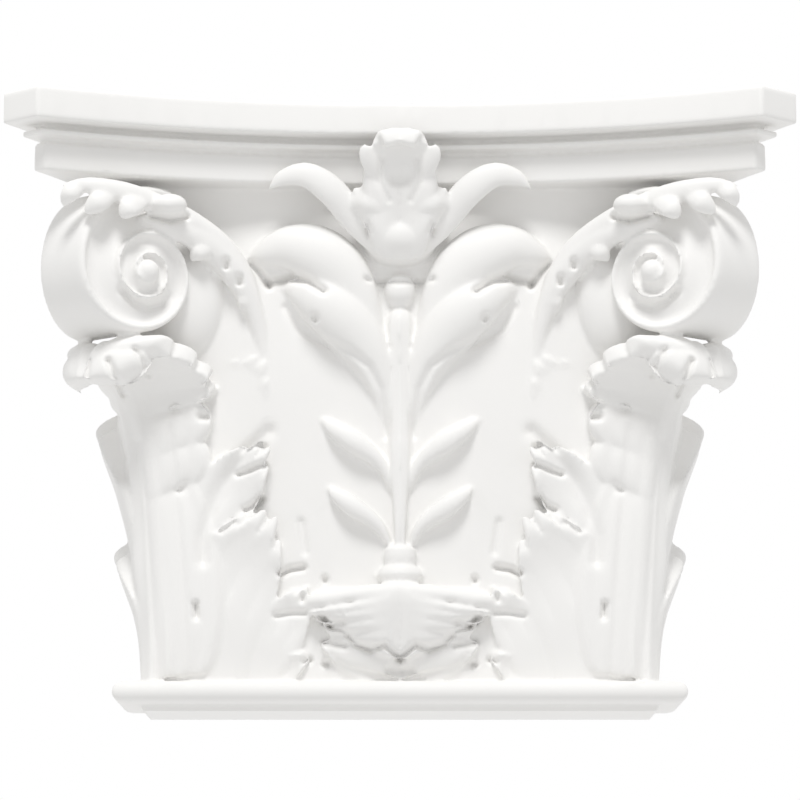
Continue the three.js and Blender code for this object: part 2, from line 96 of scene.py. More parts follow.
def standing(name, outlines):
    """One face raised through a stack of outlines, each from the middle of the front to the wall."""
    rings = [[(-x, y, z) for x, y, z in reversed(outline[1:])] + outline for outline in outlines]
    bm = bmesh.new()
    top = bm.faces.new([bm.verts.new(p) for p in rings[0]])
    for ring in rings[1:]:
        raised = bmesh.ops.extrude_face_region(bm, geom=[top, *top.edges])
        top = next(e for e in raised["geom"] if isinstance(e, bmesh.types.BMFace))
        place(top.verts, ring)
    return mesh_object(name, bm)


def body_outline(z, reach, cut, bow, steps=24):
    """The body's outline, reach out from the neck, its corners cut and bowed forward."""
    x, y = NECK_X + reach, FACE - reach
    across = [(x - cut) * i / steps for i in range(steps + 1)]
    front = [(c, y - bow * (c / x) ** 2, z) for c in across]
    return front + [(x + bow, y + cut - bow * 0.5, z), (x, WALL, z)]


bead_foot, bead_top, bead_back = BEAD_HEIGHT - BEAD, BEAD_HEIGHT + BEAD, BEAD_REACH - BEAD
levels = [  # height, reach from the neck, and cut at the corners
    (0, 0, ARRIS), (0.4, 0.3, ARRIS), (bead_foot - 0.3, 0.3, ARRIS), (bead_foot, 0.6, ARRIS),
    (bead_foot, bead_back, ARRIS),
]
for degrees in range(12, 180, 12):
    turn = math.radians(degrees)
    levels.append((BEAD_HEIGHT - BEAD * math.cos(turn), bead_back + BEAD * math.sin(turn), BEAD_CUT))
levels += [(bead_top, bead_back, ARRIS), (bead_top, 0, CORNER_CUT)]
outlines = [body_outline(z, reach, cut, 0) for z, reach, cut in levels]
for z in np.linspace(bead_top + 1, ABACUS_FOOT + 1, 40):
    outlines.append(body_outline(z, along(FLARE, z), CORNER_CUT, along(BOW, z)))
parts = [standing("body", outlines)]

# Abacus
# The slab on top, square in plan with hollow sides and cut corners. Its edge is a plain fascia over
# two deep grooves with a fillet between them, and a plain band below.
WIDTH = 357.0  # from corner to corner
HEIGHT = 275.0
CHAMFER = 17.0  # the cut-off corner, along each side
HOLLOW = 40.0  # how far each side curves in between its corners
ABACUS_LEVELS = [  # height above the foot, and how far the edge stands back
    (0, 12), (0.8, 11.4), (6, 11.4), (11.6, 11.6), (12.8, 12.2), (13.2, 16), (15.3, 16), (15.6, 7.4),
    (15.9, 7), (17.8, 7), (18.1, 7.4), (18.3, 12), (21, 12), (21.4, 0.5), (22, 0),
    (HEIGHT - 0.5 - ABACUS_FOOT, 0), (HEIGHT - ABACUS_FOOT, 0.5),
]
OVERHANG = (WIDTH - NECK_WIDTH) / 2
ABACUS_X = WIDTH / 2
CORNER_X = ABACUS_X - CHAMFER
ARC_RADIUS = (CORNER_X**2 + HOLLOW**2) / (2 * HOLLOW)
ARC_MIDDLE_Y = FACE - OVERHANG + HOLLOW - ARC_RADIUS
CORNER_SUM = ABACUS_X + OVERHANG - CHAMFER - FACE  # x - y along the cut corner
MIRROR_SUM = NECK_X + FACE  # a mirror in the corner's diagonal swaps x and y about this sum


def abacus_outline(z, inset, steps=40, side_steps=16):
    """The right half of the plan, inset all round: a hollow front, a cut corner and a hollow side."""
    radius = ARC_RADIUS + inset
    q = -ARC_MIDDLE_Y - CORNER_SUM + inset * math.sqrt(2)
    corner_x = (math.sqrt(2 * radius**2 - q**2) - q) / 2
    front = [(x, ARC_MIDDLE_Y + math.sqrt(radius**2 - x**2), z) for x in np.linspace(0, corner_x, steps)]
    side = [(MIRROR_SUM - ARC_MIDDLE_Y - math.sqrt(radius**2 - (y - MIRROR_SUM) ** 2), y, z)
            for y in np.linspace(MIRROR_SUM - corner_x, WALL, side_steps)]
    return front + side


parts.append(standing("abacus", [abacus_outline(ABACUS_FOOT + z, inset) for z, inset in ABACUS_LEVELS]))

# Acanthus leaves
# Tall leaves folded round the two corners, and a low one in the middle of the front. Each stands in
# lobes of a few fingers, with a groove between fingers, a deep eye between lobes, and a curled tip.
DIAGONAL = np.array([1.0, -1.0, 0.0]) / math.sqrt(2)  # out of the right-hand corner
ACROSS = np.array([-1.0, -1.0, 0.0]) / math.sqrt(2)  # square to it, towards the front
SWEEP_CURVE = 0.7  # how a leaf's sweep grows from its midrib to its edge
FINGER_RELIEF, LOBE_RELIEF, EDGE_RELIEF, EYE_RELIEF = 0.55, 0.75, 0.9, 1.6  # shares of the ridge
REED_WAVES = 3.5  # reeds from the midrib to the edge
BURIED = 3  # how deep the back of a leaf or lobe is in the body


def smooth(value, low, high):
    """0 below low, 1 above high, and a smooth step between."""
    k = np.clip((value - low) / (high - low), 0, 1)
    return k * k * (3 - 2 * k)


def bump(value, middle, half_width):
    """A smooth hump of height 1, half_width to each side of its middle."""
    return np.exp(-(((value - middle) / half_width) ** 2))


def points(x, y, z):
    """Columns of x, y and z as one array of points."""
    return np.stack(np.broadcast_arrays(x, y, z), axis=-1).astype(float)


def slab(name, columns, rows, at):
    """A closed sheet. at(u, v, side) gives the points of its front, side 0, and its back, side 1."""
    bm = bmesh.new()
    bmesh.ops.create_grid(bm, x_segments=columns, y_segments=rows, size=0.5)
    front = list(bm.verts)
    copied = bmesh.ops.extrude_face_region(bm, geom=list(bm.faces), use_keep_orig=True)
    back = [e for e in copied["geom"] if isinstance(e, bmesh.types.BMVert)]
    for side, verts in enumerate((front, back)):
        u, v = np.array([w.co[:2] for w in verts]).T + 0.5
        place(verts, at(u, v, side))
    return mesh_object(name, bm)


def reflected(made, name, move):
    """A copy of a piece with each of its points moved, in millimetres, and its normals outside."""
    bm = bmesh.new()
    bm.from_mesh(made.data)
    bmesh.ops.scale(bm, vec=(1 / MM,) * 3, verts=bm.verts)
    for vert in bm.verts:
        vert.co = move(vert.co)
    return mesh_object(name, bm)


def to_left(made):
    """The same piece on the left half."""
    return reflected(made, made.name + ".left", lambda p: (-p.x, p.y, p.z))


def leaf(name, form, columns=110, rows=230):
    """A leaf along its profile, thick square to it. Below form["leaves"] its back is in the body."""
    starts, ends, counts = np.array(form["groups"]).T

    def at(u, s, side):
        t = 2 * u - 1
        wide = np.abs(t)
        group = np.clip(np.searchsorted(starts, s, side="right") - 1, 0, len(starts) - 1)
        in_group = np.clip((s - starts[group]) / (ends[group] - starts[group]), 0, 1)
        finger = in_group * counts[group]
        in_finger = finger - np.floor(np.minimum(finger, counts[group] - 1e-6))
        swell = np.sqrt(np.clip(np.sin(np.pi * in_finger), 0, 1))
        first, final = finger < 0.5, finger > counts[group] - 0.5
        depth = np.where(first | final, form["deep_notch"], form["notch"])
        c = t * along(form["width"], s) * (1 - depth * (1 - swell))
        lift = wide**SWEEP_CURVE * along(form["sweep"], s)
        free = smooth(s, form["leaves"] - 0.1, form["leaves"] + 0.05)
        spread = smooth(wide, 0.06, 0.45)
        lobe = np.clip(np.sin(np.pi * in_group), 0, 1) ** 0.6
        edge = np.clip((wide - 0.82) / 0.18, 0, 1)
        swollen = FINGER_RELIEF * swell + LOBE_RELIEF * lobe
        relief = form["ridge"] * (spread * swollen - EDGE_RELIEF * edge**2)
        relief += form["rib"] * (bump(wide, 0.13, 0.05) - bump(wide, 0, 0.045))
        reeded = smooth(wide, 0.15, 0.3) * (1 - smooth(s, 0.55, 0.8))
        relief += form["reeds"] * np.cos(2 * np.pi * REED_WAVES * wide) * reeded
        eye = sum(bump(s, border, form["eye"]) * bump(wide, form["eye_at"], 0.07) for border in starts[1:])
        relief -= form["ridge"] * EYE_RELIEF * eye
        out = along(form["out"], s)
        near = 0.01
        ahead = along(form["out"], s + near) - along(form["out"], s - near)
        upward = along(form["height"], s + near) - along(form["height"], s - near)
        long = np.hypot(ahead, upward)
        buried = np.maximum(out, 0) + BURIED
        if side == 0:
            offset = form["thick"] + relief * (1 - free)
        else:
            offset = -(buried + (form["thick"] + relief - buried) * free)
        z = along(form["height"], s) + lift - np.maximum(offset, -form["thick"] * 1.5) * ahead / long
        return form["place"](s, c, z, offset * upward / long, out - free * form["droop"] * t * t)

    return slab(name, columns, rows, at)


def round_corner(c, z, h):
    """The body's face near its right-hand corner, c along it from the corner and h off it."""
    arc = CORNER_CUT * math.pi / 4
    heading = -math.pi / 4 - np.clip(c / CORNER_CUT, -math.pi / 4, math.pi / 4)
    past = np.maximum(0, np.abs(c) - arc)
    x = NECK_X - CORNER_CUT + (CORNER_CUT + h) * np.cos(heading)
    y = FACE + CORNER_CUT + (CORNER_CUT + h) * np.sin(heading)
    return points(np.where(c > 0, x - past, x), np.where(c > 0, y, y + past), z)


CORNER_OPEN = [(0, 0), (0.6, 0), (0.8, 0.45), (1, 0.9)]  # the folded leaf opens flat towards its tip
SIDE_NARROW, TIP_NARROW = 0.78, 0.95  # the short side's width and the tip's, as shares
FOOT_THIN = 0.75  # how much of its thickness the short side loses at the foot


def on_corner(s, c, z, h, out):
    """Folded round the corner low down, thin at the foot of its short side, and open at the tip."""
    h = h * (1 - FOOT_THIN * smooth(-c, -5, 5) * (1 - smooth(s, 0.12, 0.35)))
    folded = round_corner(np.where(c < 0, c * SIDE_NARROW, c), z, h)
    flat = round_corner(np.zeros_like(c), z, h) + ACROSS * (c * TIP_NARROW)[:, None]
    opened = along(CORNER_OPEN, s)[:, None]
    return folded + (flat - folded) * opened + DIAGONAL * out[:, None]


corner_leaf = leaf("corner_leaf", {
    "height": [(0, 13), (0.2, 42), (0.4, 76), (0.6, 109), (0.75, 137), (0.85, 154), (0.92, 160), (1, 147)],
    "out": [(0, 0), (0.3, 0), (0.6, 4), (0.75, 10.5), (0.85, 22), (0.92, 32), (1, 38)],
    "width": [(0, 36), (0.2, 36), (0.4, 33), (0.55, 31), (0.7, 36), (0.82, 41), (0.92, 34), (1, 22)],
    "sweep": [(0, 4), (0.3, 10), (0.6, 12), (0.85, 3), (1, -2)],
    "leaves": 0.78, "thick": 4, "ridge": 2.2, "rib": 1.0, "reeds": 0.35, "droop": 7,
    "notch": 0.14, "deep_notch": 0.2, "eye": 0.012, "eye_at": 0.62,
    "groups": [(0, 0.5, 1), (0.5, 0.72, 2), (0.72, 1, 5)],
    "place": on_corner,
})
parts += [corner_leaf, to_left(corner_leaf)]
parts.append(leaf("middle_leaf", {
    "height": [(0, 14), (0.2, 27), (0.4, 42), (0.52, 51), (0.62, 55), (0.72, 53), (0.84, 43), (1, 24)],
    "out": [(0, 0), (0.3, 1), (0.45, 3), (0.55, 7), (0.64, 12), (0.74, 13.5), (0.86, 11), (1, 6)],
    "width": [(0, 30), (0.2, 32), (0.4, 36), (0.55, 41), (0.65, 43), (0.75, 41), (0.85, 34), (0.93, 24),
              (1, 5)],
    "sweep": [(0, 6), (0.4, 4), (0.55, -3), (0.7, -8), (0.85, -4), (1, 0)],
    "leaves": 0.55, "thick": 3, "ridge": 2, "rib": 0.6, "reeds": 0, "droop": 9,
    "notch": 0.2, "deep_notch": 0.26, "eye": 0.015, "eye_at": 0.6,
    "groups": [(0, 0.45, 2), (0.45, 0.72, 3), (0.72, 1, 5)],
    "place": lambda s, c, z, h, out: points(c, FACE - h - out, z),
}))

# Lobes
# The large lobes of the corner leaves, which lie on the bell and the sides in fans of a few fingers,
# and the small low ones beside the middle leaf. The mould leaves those on the sides solid behind.
LOBE_FALL = 0.25  # how much sooner the outer fingers of a lobe end
LOBE_NOTCH = 0.15  # how deep the notches between its fingers are, as a share of its length
LOBE_SHEET = 4  # a lobe's thickness at its tip, where it stands free
LOBE_LEAST = 0.7  # a lobe's least height off the body
ROUNDING = 2  # how far a lobe's edge is rounded off
GROOVE = 1.3  # between its fingers
BOWL = 1.4  # the hollow in its middle
ROLL = 1.2  # its rolled tip
SIDE_FALL = 0.85  # how far a lobe on the side falls back at its tip, as a share of its height


def on_side(c, z, h):
    """On the short side, with c away from the corner."""
    return round_corner(-c, z, h)


def on_middle(c, z, h):
    """On the front, with c from its middle."""
    return points(c, FACE - h, z)


def lobe(name, spine, fingers, put, free, columns=64, rows=48):
    """A fan of fingers along a spine of (across, height, height off the face, half width)."""
    knots = np.linspace(0, 1, len(spine))
    across, up, high, wide = [list(zip(knots, column)) for column in zip(*spine)]
    near = 0.02

    def at(u, v, side):
        t = 2 * u - 1
        swell = np.sqrt(np.abs(np.sin(np.pi * fingers * u)))
        s = v * (1 - LOBE_FALL * t * t - LOBE_NOTCH * (1 - swell))
        sideways = along(across, s + near) - along(across, s - near)
        upward = along(up, s + near) - along(up, s - near)
        long = np.hypot(sideways, upward)
        width = along(wide, s) * t * np.sqrt(1 - 0.5 * v**6)
        c = along(across, s) + width * upward / long
        z = along(up, s) - width * sideways / long
        rounded = ROUNDING * np.abs(t) ** 6 + 1.5 * smooth(v, 0.9, 1)
        grooves = GROOVE * (1 - swell) * smooth(v, 0.35, 0.95)
        hollow = BOWL * bump(v, 0.62, 0.16) * (1 - t * t) - ROLL * bump(v, 0.9, 0.08)
        front = np.maximum(along(high, s) - rounded - grooves - hollow, LOBE_LEAST)
        if not free:
            fall = SIDE_FALL * along(high, s) * smooth(v, 0.78, 1) ** 1.6
            front = np.maximum(front - fall, LOBE_LEAST)
        if side == 0:
            return put(c, z, front)
        sheet = smooth(v, 0.6, 1) * free
        return put(c, z, np.minimum(-BURIED + sheet * (front + BURIED - LOBE_SHEET), front - BURIED))

    return slab(name, columns, rows, at)


# Each as (fingers, spine), from the lowest up: those on the leaf's front half, measured from the
# corner, those on its short side, and the low ones beside the middle leaf.
FRONT_LOBES = [
    (4, [(28, 12, 2, 17), (33, 40, 4, 22), (44, 68, 6, 24), (57, 90, 10, 20)]),
    (3, [(50, 11, 1, 8), (58, 28, 3, 11), (66, 44, 5, 12), (73, 56, 6, 9)]),
    (2, [(52, 9, 1, 5), (62, 17, 2, 7), (74, 26, 4, 6)]),
    (4, [(20, 58, 3, 8), (28, 82, 5, 13), (41, 104, 8, 17), (55, 121, 12, 14)]),
    (4, [(24, 108, 2, 9), (33, 130, 2.6, 15), (43, 148, 3.2, 16), (54, 164, 3.6, 12)]),
]
SIDE_LOBES = [
    (3, [(15, 12, 1, 12), (18, 36, 3.5, 16), (22, 60, 11.5, 17), (24, 84, 19, 13)]),
    (3, [(14, 66, 5, 10), (17, 90, 11, 15), (21, 116, 20, 16), (24, 145, 29, 13)]),
]
MIDDLE_LOBES = [
    (3, [(14, 22, 2, 6), (24, 34, 4, 8), (35, 46, 7, 7)]),
    (2, [(12, 14, 1, 5), (24, 23, 3, 6), (36, 31, 5, 5)]),
]
for kind, lobes, put in (("front", FRONT_LOBES, round_corner), ("side", SIDE_LOBES, on_side),
                         ("middle", MIDDLE_LOBES, on_middle)):
    for number, (fingers, spine) in enumerate(lobes):
        made = lobe(f"{kind}_lobe_{number}", spine, fingers, put, free=kind != "side")
        parts += [made, to_left(made)]

# Spray
# The reeded stalk up the middle of the front, from a collar to a bud, with two short pairs of leaves
# and the big open calyx under the fleuron. Each is a path of (across, height, height off the face,
# half width).
STALK = [(0, 66, 5, 3.2), (0, 90, 4, 3.6), (0, 115, 3, 5), (0, 140, 3, 4.2), (0, 160, 3, 5), (0, 176, 3, 7),
         (0, 184, 3, 7.2)]
SHORT_LEAVES = [
    [(4, 74, 2, 2), (10, 84, 4, 3.2), (21, 92, 5, 4.6), (29, 98, 4, 3.4), (33, 102, 1, 0.8)],
    [(4, 100, 2, 2), (9, 112, 4, 3.2), (20, 121, 5.5, 5), (30, 128, 4.5, 4), (37, 134, 1, 1)],
]
LOWER_LIP = [(3, 122, 0, 3), (8, 145, 2, 7), (16, 165, 4, 11), (27, 179, 6, 13), (39, 188, 7.5, 11),
             (48, 192, 6, 7), (54, 193, 3, 3)]
UPPER_LIP = [(6, 140, -1, 4), (14, 170, 2, 9), (24, 194, 4, 13), (36, 207, 6, 13.5), (50, 211, 6.5, 11),
             (62, 208, 5, 7), (69, 203, 2, 3)]
COLLAR = [(0, 56), (8.5, 57.5), (10.4, 61.2), (9, 64), (6.6, 65.5), (7.4, 69), (7, 73), (0, 76)]
COLLAR_OUT = 3  # how far the collar's axis stands off the face
BLUNT = 0.15  # a stem's width at its very ends
LEAST_STEM = 0.2  # a stem's least half width, before its ends are rounded


def stem(name, path, sides=28, steps=60, flatten=1.0, reeds=0.0, reed_count=0):
    """A rod with loop cuts, bent along its path, with rounded ends and, on the stalk, reeds."""
    knots = np.linspace(0, 1, len(path))
    across, up, high, wide = [list(zip(knots, column)) for column in zip(*path)]
    bm = bmesh.new()
    bmesh.ops.create_cone(bm, cap_ends=True, segments=sides, radius1=1, radius2=1, depth=1)
    lengthwise = [e for e in bm.edges if abs(e.verts[0].co.z - e.verts[1].co.z) > 0.5]
    bmesh.ops.subdivide_edges(bm, edges=lengthwise, cuts=steps - 1)
    x, y, z = np.array([v.co for v in bm.verts]).T
    turn, s = np.arctan2(y, x), np.clip(z + 0.5, 0, 1)
    near = 0.5 / steps
    sideways = along(across, s + near) - along(across, s - near)
    upward = along(up, s + near) - along(up, s - near)
    long = np.hypot(sideways, upward)
    inside = (s > near) & (s < 1 - near)
    ends = np.where(inside, np.clip(np.sin(np.pi * s), 0, 1) ** 0.25, BLUNT)
    r = np.maximum(LEAST_STEM, along(wide, s)) * ends * (1 + reeds * np.cos(reed_count * turn))
    beside, off = r * np.cos(turn), r * flatten * np.sin(turn)
    place(bm.verts, points(along(across, s) + beside * upward / long, FACE - along(high, s) - off,
                           along(up, s) - beside * sideways / long))
    return mesh_object(name, bm)


def ball(name, middle, half):
    """A rounded boss: a sphere stretched to half its width, depth and height."""
    bm = bmesh.new()
    bmesh.ops.create_uvsphere(bm, u_segments=40, v_segments=24, radius=1)
    bmesh.ops.scale(bm, vec=half, verts=bm.verts)
    bmesh.ops.translate(bm, vec=middle, verts=bm.verts)
    return mesh_object(name, bm)


parts.append(stem("stalk", STALK, reeds=0.07, reed_count=8))
parts.append(ball("bud", (0, FACE - 4, 191.5), (7, 7, 8)))
collar = bmesh.new()
ring = [collar.verts.new((r, FACE - COLLAR_OUT, z)) for r, z in COLLAR]
edges = [collar.edges.new(pair) for pair in zip(ring, ring[1:])]
bmesh.ops.spin(collar, geom=ring + edges, cent=(0, FACE - COLLAR_OUT, 0), axis=(0, 0, 1),
               angle=2 * math.pi, steps=48)
bmesh.ops.remove_doubles(collar, verts=collar.verts, dist=0.01)
parts.append(mesh_object("collar", collar))
for number, path in enumerate(SHORT_LEAVES):
    made = stem(f"short_leaf_{number}", path, flatten=0.9)
    parts += [made, to_left(made)]
for name, path in (("lower_lip", LOWER_LIP), ("upper_lip", UPPER_LIP)):
    made = stem(name, path, flatten=0.8)
    parts += [made, to_left(made)]

# Fleuron
# The flower over the middle of the abacus: a cup on the bell, a broad petal that curls forward over
# the fascia, and thin petals that spread to each side under the abacus.
SIDE_PETAL = [(8, 206, 8, 4), (20, 221, 13, 6.5), (30, 234, 18, 7), (42, 242, 20, 6), (53, 241, 19, 4.5),
              (60, 236, 18, 1.5)]
FRONT_PETAL = [(4, 204, 14, 4), (8, 218, 17, 6.5), (15, 230, 19, 6), (21, 236, 21, 2.5)]
CUP_LIP = [(3, 223, 19, 3), (10, 228, 21, 4.6), (17, 230, 21, 5), (24, 228, 17, 3)]
SIDE_CURL = [(9, 238, 24, 3), (13, 245, 28, 4), (15.5, 250, 31, 3.6), (16, 254, 33, 2.4)]
PETAL_BURIED = 6  # how deep the top petal's back is below its profile
parts.append(ball("cup", (0, FACE - 4, 215.5), (17.5, 17, 13)))
parts.append(ball("cup_rim", (0, FACE - 5, 226), (22, 16, 9)))
for name, path in (("side_petal", SIDE_PETAL), ("front_petal", FRONT_PETAL), ("cup_lip", CUP_LIP),
                   ("side_curl", SIDE_CURL)):
    made = stem(name, path, flatten=0.6)
    parts += [made, to_left(made)]
parts.append(leaf("top_petal", {
    "height": [(0, 204), (0.4, 228), (0.65, 246), (0.82, 257), (0.93, 259.5), (1, 254)],
    "out": [(0, 12), (0.4, 20), (0.55, 23), (0.7, 27), (0.82, 31), (0.93, 34), (1, 36)],
    "width": [(0, 12), (0.3, 15), (0.6, 17), (0.72, 14), (0.85, 12), (1, 8)],
    "sweep": [(0, 2), (0.5, 1), (0.85, -3), (1, -2)],
    "leaves": 0.6, "thick": 2, "ridge": 1.5, "rib": 0.5, "reeds": 0, "droop": 0,
    "notch": 0.1, "deep_notch": 0.2, "eye": 0.03, "eye_at": 0.6,
    "groups": [(0, 0.72, 2), (0.72, 1, 1)],
    "place": lambda s, c, z, h, out: points(c, FACE - np.maximum(h, -PETAL_BURIED) - out, z),
}, columns=60, rows=90))

# Volutes
# A scroll at each corner, with one face to the front and one to the side. A raised fillet follows
# its edge, and the channel inside it winds in to an eye that stands proud.
VOLUTE_EYE = np.array([116.7, -57.0, 196.0])
VOLUTE_TURNED = math.radians(32)  # how far the face is turned from square on
VOLUTE_RADIUS = 33.0
VOLUTE_SHRINK = 0.12  # how fast the spiral closes, per radian
VOLUTE_CONE = 8.0  # how far the eye stands out of the face
VOLUTE_START = -0.62 * math.pi
VOLUTE_END = 2.4 * 2 * math.pi
VOLUTE_OVERLAP = 1.06  # each turn's strip runs a little under the next
EYE_RADIUS = 5.2
VOLUTE_OUT = np.array([math.cos(VOLUTE_TURNED), -math.sin(VOLUTE_TURNED), 0])
VOLUTE_FACING = np.array([-math.sin(VOLUTE_TURNED), -math.cos(VOLUTE_TURNED), 0])
CHANNEL = [(0, -0.6), (0.05, 1.6), (0.12, 2.4), (0.2, 1.6), (0.27, -0.4), (0.5, -2.2), (0.8, -1.6),
           (VOLUTE_OVERLAP, -0.4)]


def on_volute(u, v, side):
    """The front face, v along the spiral and u across its strip, and the side face as its mirror."""
    turn = VOLUTE_START + (VOLUTE_END - VOLUTE_START) * v
    outer = VOLUTE_RADIUS * np.exp(-VOLUTE_SHRINK * turn)
    inner = outer * math.exp(-VOLUTE_SHRINK * 2 * math.pi)
    across = u * VOLUTE_OVERLAP
    r = outer + (inner - outer) * across
    rise = along(CHANNEL, across) + VOLUTE_CONE * (1 - np.minimum(r, VOLUTE_RADIUS) / VOLUTE_RADIUS)
    p = VOLUTE_EYE + VOLUTE_OUT * (r * np.cos(turn))[:, None] + VOLUTE_FACING * rise[:, None]
    p[:, 2] -= r * np.sin(turn)
    if side == 0:
        return p
    return points(MIRROR_SUM - p[:, 1], MIRROR_SUM - p[:, 0], p[:, 2])


def to_side(made):
    """The same piece on the corner's other face."""
    return reflected(made, made.name + ".side", lambda p: (MIRROR_SUM - p.y, MIRROR_SUM - p.x, p.z))


volute = slab("volute", 24, 260, on_volute)
eye = ball("volute_eye", tuple(VOLUTE_EYE + VOLUTE_FACING * (VOLUTE_CONE - 2)), (EYE_RADIUS,) * 3)
side_eye = to_side(eye)
parts += [volute, to_left(volute), eye, to_left(eye), side_eye, to_left(side_eye)]

# Leaf over the scroll
# It rises from the spray's stalk, lies along the top of the scroll with its lobes hanging over it, and
# ends in a curl under the corner of the abacus. A web behind it joins the scroll to the bell.
SCROLL_STALK = [(60, 142, -1, 2), (64, 172, 3, 4), (72, 194, 8, 6), (86, 210, 15, 7), (103, 218, 24, 6),
                (118, 221, 30, 4)]
OVER_LEAF = [(64, 176, 2, 2), (69, 193, 6, 5), (79, 208, 12, 6), (93, 219, 20, 5.5), (108, 226, 30, 5),
             (124, 230, 40, 5.5), (140, 232.5, 46, 4.5), (151, 232, 48, 2.5)]
OVER_LOBES = [
    [(74, 203, 9, 3), (77, 197, 11, 4), (77, 192, 9, 2)],
    [(70, 194, 7, 2), (71, 186, 8, 3.2), (70, 180, 6, 1.5)],
    [(84, 212, 16, 4), (91, 207, 19, 4.5), (95, 203, 18, 2)],
    [(114, 228, 36, 4), (121, 223, 43, 5), (125, 218, 44, 3)],
    [(128, 230, 42, 4), (135, 225, 46, 5), (141, 220, 46, 3)],
    [(142, 232, 46, 4), (148, 228, 48, 4), (151, 223, 46, 2)],
]
over_paths = [("scroll_stalk", SCROLL_STALK), ("over_leaf", OVER_LEAF)]
over_paths += [(f"over_lobe_{number}", path) for number, path in enumerate(OVER_LOBES)]
for name, path in over_paths:
    made = stem(name, path, flatten=0.85, sides=24, steps=40)
    parts += [made, to_left(made)]
scroll_bud = ball("scroll_bud", (104, FACE - 33, 226), (8, 7.5, 5))
scroll_web = ball("scroll_web", (98, FACE - 2, 190), (18, 13, 30))
parts += [scroll_bud, to_left(scroll_bud), scroll_web, to_left(scroll_web)]

# The casting
# All of it leaves the mould in one piece, so the forms are fused, and every inner corner has the
# small fillet that a silicone mould leaves.
VOXEL = 1.0
bpy.ops.object.select_all(action="DESELECT")
for part in parts:
    part.select_set(True)
bpy.context.view_layer.objects.active = parts[0]
bpy.ops.object.join()
capital = parts[0]
capital.name = "capital_casting"


def apply(kind, name, **settings):
    """Adds a modifier with these settings to the casting and applies it."""
    modifier = capital.modifiers.new(name, kind)
    for key, value in settings.items():
        setattr(modifier, key, value)
    bpy.ops.object.modifier_apply(modifier=modifier.name)


apply("REMESH", "fuse", mode="VOXEL", voxel_size=VOXEL * MM, use_smooth_shade=True)
apply("SMOOTH", "soften", factor=0.5, iterations=3)

# Chasing
# The pits, slits and veins that the pattern's carver cut into the finished forms from the front. Each
# is a line of (distance from the middle, height) with a half width and a depth, the same on both
# halves. A depth below 0 stands up.
CHASED_LEAVES = [
    ([(60, 127), (69, 118), (78, 106), (85, 93), (89, 79), (89, 68)], 3.2, 2.6),
    ([(119, 122), (115, 93), (113, 66), (111, 38), (109, 13)], 1.8, 1.6),
    ([(113, 122), (110, 93), (108, 66), (106, 38), (104, 13)], 1.8, -0.9),
    ([(104, 128), (101, 93), (98, 56), (95, 13)], 2.0, 0.9),
    ([(112, 143), (104, 142), (97, 144)], 11, 5),
    ([(90, 133), (88, 133)], 2.0, 4.5),
    ([(63, 120), (62, 120)], 1.5, 4.5),
    ([(92.5, 48), (92, 42)], 1.4, 4.5),
    ([(34, 60), (34, 59)], 1.4, 4),
    ([(44, 52), (44, 50)], 1.4, 4),
    ([(43, 22), (41, 23)], 1.5, 4),
    ([(34, 21), (33, 21)], 1.3, 4),
    ([(73, 107), (67, 109), (62, 111)], 1.4, 4.5),
    ([(70, 91), (66, 93), (63, 96)], 1.5, 4.5),
    ([(81, 81), (75, 85)], 1.4, 3),
    ([(54, 62), (50, 64), (44, 65)], 1.5, 4.5),
    ([(56, 43), (49, 44), (43, 44)], 1.4, 2.8),
    ([(36, 42), (32, 39), (26, 39)], 1.6, 4.5),
    ([(34, 31), (25, 29)], 1.5, 3.5),
    ([(45, 86), (43, 72)], 1.6, 1.6),
    ([(34, 41), (31, 37), (25, 35), (20, 30), (13, 27), (7, 29), (0, 23)], 1.3, 4.5),
    ([(5, 18), (0, 17.5)], 1.8, 3.5),
]
CHASED_CALYX = [
    ([(60, 196), (50, 197), (42, 195), (35, 190)], 1.8, 5.5),
    ([(68, 204), (64, 200), (60, 194)], 1.6, 5),
    ([(39, 178), (38.5, 177)], 1.4, 3.5),
    ([(52, 184), (46, 174), (36, 168), (23, 163), (14, 156), (9, 146), (6, 125)], 1.8, 1.8),
]
CHASED_TOP = [  # the leaf over the scroll, the fleuron, the curled tips, the scroll and the stalk
    ([(112, 222), (104, 220), (97, 222)], 1.6, 5),
    ([(79, 203), (79, 201)], 1.5, 4),
    ([(73, 196), (73, 194)], 1.5, 4),
    ([(15, 220), (14, 216)], 1.2, 2),
    ([(15, 196), (0, 195)], 1.3, 3),
    ([(2, 239), (0, 239)], 3.5, 3),
    ([(131, 155), (126, 143)], 1.5, 3.5),
    ([(140, 156), (141, 143)], 1.3, 2.5),
    ([(119, 160), (114, 151)], 1.3, 2.5),
    ([(124, 186), (119.5, 182), (113.5, 180.5), (108, 183), (106.5, 186)], 2.1, 4),
    ([(7, 196), (9, 180), (6, 165)], 1.6, 0.6),
    ([(8, 248), (9, 238), (5, 230)], 1.3, 1.6),
]
CHASE_REACH = 2.5  # half widths beyond which a line no longer shows


